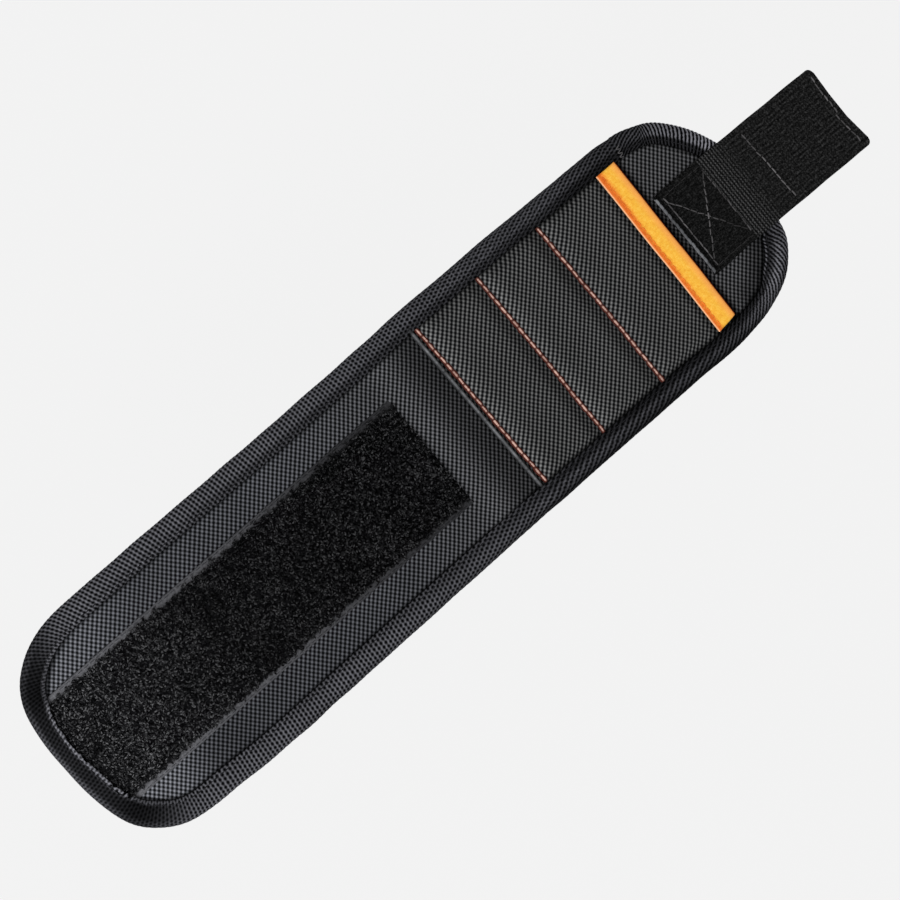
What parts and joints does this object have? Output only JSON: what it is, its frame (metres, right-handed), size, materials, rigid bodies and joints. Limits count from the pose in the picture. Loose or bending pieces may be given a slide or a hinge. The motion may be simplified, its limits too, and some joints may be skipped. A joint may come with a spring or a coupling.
{
  "type": "magnetic wristband",
  "caption": "Flat padded fabric wristband with a magnet-lined pocket panel, loop-pile field, taped edge and an elastic hook closure tab, for holding screws and small metal items.",
  "frame": {"origin": "centre of the bounding box in plan, at the surface that the lining lies on", "axes": "+X along the band from the loop end to the closure tab, +Z out of the outer face, +Y to the left when looking along +X from above"},
  "size_m": [0.3674, 0.09, 0.0079],
  "materials": {
    "shell_fabric": "coarse black plain weave with grey lights",
    "lining_mesh": "black spacer mesh",
    "binding_tape": "black ribbed binding tape",
    "loop_pile": "black brushed loop pile",
    "backing_cloth": "thin black woven cloth",
    "trim_orange": "orange grosgrain tape",
    "strap_elastic": "black ribbed elastic webbing",
    "hook_tape": "black moulded hooks",
    "magnet_metal": "nickel plate"
  },
  "bodies": {
    "loop_4": {"shell_4": "shell_fabric", "lining_4": "lining_mesh", "binding_left_4": "binding_tape", "binding_right_4": "binding_tape", "loop_tape_4": "loop_pile"},
    "loop_3": {"shell_3": "shell_fabric", "lining_3": "lining_mesh", "binding_left_3": "binding_tape", "binding_right_3": "binding_tape", "loop_tape_3": "loop_pile"},
    "loop_2": {"shell_2": "shell_fabric", "lining_2": "lining_mesh", "binding_left_2": "binding_tape", "binding_right_2": "binding_tape", "loop_tape_2": "loop_pile"},
    "loop_end": {"shell_1": "shell_fabric", "lining_1": "lining_mesh", "binding_loop_end": "binding_tape", "loop_tape_1": "loop_pile"},
    "pocket_1": {"shell_5": "shell_fabric", "lining_5": "lining_mesh", "binding_left_5": "binding_tape", "binding_right_5": "binding_tape", "pocket_backing_1": "backing_cloth", "pocket_front_1": "shell_fabric", "magnet_1_1": "magnet_metal", "magnet_1_2": "magnet_metal", "magnet_1_3": "magnet_metal", "magnet_1_4": "magnet_metal", "magnet_1_5": "magnet_metal"},
    "pocket_2": {"shell_6": "shell_fabric", "lining_6": "lining_mesh", "binding_left_6": "binding_tape", "binding_right_6": "binding_tape", "pocket_backing_2": "backing_cloth", "pocket_front_2": "shell_fabric", "magnet_2_1": "magnet_metal", "magnet_2_2": "magnet_metal", "magnet_2_3": "magnet_metal", "magnet_2_4": "magnet_metal", "magnet_2_5": "magnet_metal"},
    "pocket_3": {"shell_7": "shell_fabric", "lining_7": "lining_mesh", "binding_left_7": "binding_tape", "binding_right_7": "binding_tape", "pocket_backing_3": "backing_cloth", "pocket_front_3": "shell_fabric", "magnet_3_1": "magnet_metal", "magnet_3_2": "magnet_metal", "magnet_3_3": "magnet_metal", "magnet_3_4": "magnet_metal", "magnet_3_5": "magnet_metal"},
    "pocket_mouth": {"pocket_mouth_panel": "shell_fabric", "pocket_trim": "trim_orange"},
    "head": {"shell_8": "shell_fabric", "lining_8": "lining_mesh", "binding_head_end": "binding_tape", "tab_strap_anchor": "strap_elastic"},
    "closure_tab": {"tab_strap_free": "strap_elastic", "tab_hook_tape": "hook_tape"}
  },
  "joints": [
    {"name": "wrap", "type": "hinge", "parent": "loop_4", "child": "pocket_1", "pos_m": [0.00946, 0, 0], "axis": [0, 1, 0], "range_deg": [0, 48.4]},
    {"name": "wrap_loop_3", "type": "hinge", "parent": "loop_4", "child": "loop_3", "pos_m": [-0.03884, 0, 0], "axis": [0, -1, 0], "range_deg": [0, 68.3]},
    {"name": "wrap_loop_2", "type": "hinge", "parent": "loop_3", "child": "loop_2", "pos_m": [-0.08714, 0, 0], "axis": [0, -1, 0], "range_deg": [0, 76]},
    {"name": "wrap_loop_end", "type": "hinge", "parent": "loop_2", "child": "loop_end", "pos_m": [-0.13543, 0, 0], "axis": [0, -1, 0], "range_deg": [0, 69.3]},
    {"name": "wrap_pocket_2", "type": "hinge", "parent": "pocket_1", "child": "pocket_2", "pos_m": [0.03827, 0, 0], "axis": [0, 1, 0], "range_deg": [0, 36.4]},
    {"name": "wrap_pocket_3", "type": "hinge", "parent": "pocket_2", "child": "pocket_3", "pos_m": [0.06686, 0, 0], "axis": [0, 1, 0], "range_deg": [0, 41.2]},
    {"name": "wrap_head", "type": "hinge", "parent": "pocket_3", "child": "head", "pos_m": [0.10366, 0, 0], "axis": [0, 1, 0], "range_deg": [0, 48.5]},
    {"name": "pocket_open", "type": "hinge", "parent": "pocket_3", "child": "pocket_mouth", "pos_m": [0.08826, 0, 0.0079], "axis": [0, -1, 0], "range_deg": [0, 25], "stiffness_Nm_per_rad": 0.01},
    {"name": "tab_fold", "type": "hinge", "parent": "head", "child": "closure_tab", "pos_m": [0.14197, -0.0024, 0.0058], "axis": [-0.0297, -0.9996, 0], "range_deg": [-45, 110]}
  ],
  "couplings": [
    {"joint": "wrap_loop_3", "follows": "wrap", "ratio": 1.41},
    {"joint": "wrap_loop_2", "follows": "wrap", "ratio": 1.57},
    {"joint": "wrap_loop_end", "follows": "wrap", "ratio": 1.43},
    {"joint": "wrap_pocket_2", "follows": "wrap", "ratio": 0.75},
    {"joint": "wrap_pocket_3", "follows": "wrap", "ratio": 0.85},
    {"joint": "wrap_head", "follows": "wrap", "ratio": 1}
  ]
}
